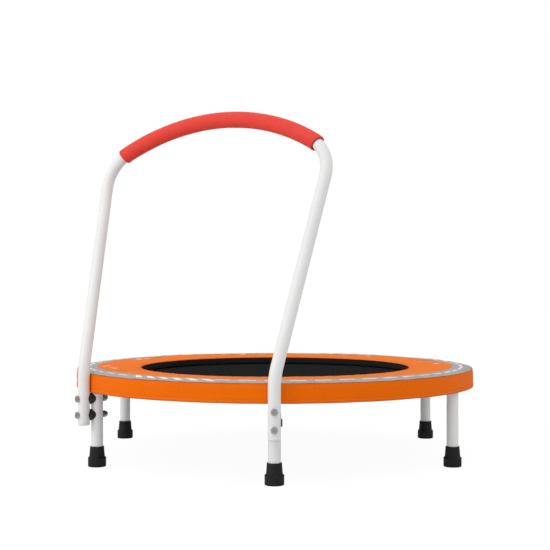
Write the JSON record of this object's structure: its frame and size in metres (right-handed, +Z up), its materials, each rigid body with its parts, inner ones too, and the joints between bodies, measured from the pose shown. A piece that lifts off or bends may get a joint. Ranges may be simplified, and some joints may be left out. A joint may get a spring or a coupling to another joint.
{
  "type": "mini trampoline with handle",
  "caption": "Round mini trampoline on straight legs, with a skirted pad ring over its springs and a tall bent handle with a foam grip bolted to the front legs.",
  "frame": {"origin": "on the floor, under the centre of the mat", "axes": "+Z up; the handle stands at the -Y side and leans towards +Y; the object is its own mirror image across the YZ plane"},
  "size_m": [0.928, 0.9224, 0.7695],
  "materials": {
    "white_powder_coat": "satin",
    "black_rubber": "matte",
    "black_plastic": "matte",
    "white_plastic": "satin",
    "zinc_steel": "satin",
    "mat_fabric": "matte",
    "webbing_fabric": "matte",
    "orange_vinyl": "satin",
    "pale_foam": "matte",
    "red_foam": "matte"
  },
  "bodies": {
    "frame": {"cap_nut_front_left_lower": "zinc_steel", "cap_nut_front_left_upper": "zinc_steel", "cap_nut_front_right_lower": "zinc_steel", "cap_nut_front_right_upper": "zinc_steel", "foam_grip": "red_foam", "frame_ring": "white_powder_coat", "handle_bolt_front_left_lower": "zinc_steel", "handle_bolt_front_left_upper": "zinc_steel", "handle_bolt_front_right_lower": "zinc_steel", "handle_bolt_front_right_upper": "zinc_steel", "handle_tube": "white_powder_coat", "leg_back_left": "white_powder_coat", "leg_back_right": "white_powder_coat", "leg_front_left": "white_powder_coat", "leg_front_right": "white_powder_coat", "leg_left": "white_powder_coat", "leg_right": "white_powder_coat", "pad_cover": "orange_vinyl", "pad_foam": "pale_foam", "post_plug_front_left": "white_plastic", "post_plug_front_right": "white_plastic", "rubber_foot_back_left": "black_rubber", "rubber_foot_back_right": "black_rubber", "rubber_foot_front_left": "black_rubber", "rubber_foot_front_right": "black_rubber", "rubber_foot_left": "black_rubber", "rubber_foot_right": "black_rubber", "saddle_spacer_front_left_lower": "black_plastic", "saddle_spacer_front_left_upper": "black_plastic", "saddle_spacer_front_right_lower": "black_plastic", "saddle_spacer_front_right_upper": "black_plastic", "spring_01": "zinc_steel", "spring_02": "zinc_steel", "spring_03": "zinc_steel", "spring_04": "zinc_steel", "spring_05": "zinc_steel", "spring_06": "zinc_steel", "spring_07": "zinc_steel", "spring_08": "zinc_steel", "spring_09": "zinc_steel", "spring_10": "zinc_steel", "spring_11": "zinc_steel", "spring_12": "zinc_steel", "spring_13": "zinc_steel", "spring_14": "zinc_steel", "spring_15": "zinc_steel", "spring_16": "zinc_steel", "spring_17": "zinc_steel", "spring_18": "zinc_steel", "spring_19": "zinc_steel", "spring_20": "zinc_steel", "spring_21": "zinc_steel", "spring_22": "zinc_steel", "spring_23": "zinc_steel", "spring_24": "zinc_steel"},
    "mat": {"jump_mat": "mat_fabric", "mat_webbing": "webbing_fabric"}
  },
  "joints": [
    {"name": "mat_bounce", "type": "slide", "parent": "frame", "child": "mat", "axis": [0, 0, -1], "range_m": [0, 0.12], "stiffness_N_per_m": 5000, "deforming": ["spring_01", "spring_02", "spring_03", "spring_04", "spring_05", "spring_06", "spring_07", "spring_08", "spring_09", "spring_10", "spring_11", "spring_12", "spring_13", "spring_14", "spring_15", "spring_16", "spring_17", "spring_18", "spring_19", "spring_20", "spring_21", "spring_22", "spring_23", "spring_24"]}
  ]
}
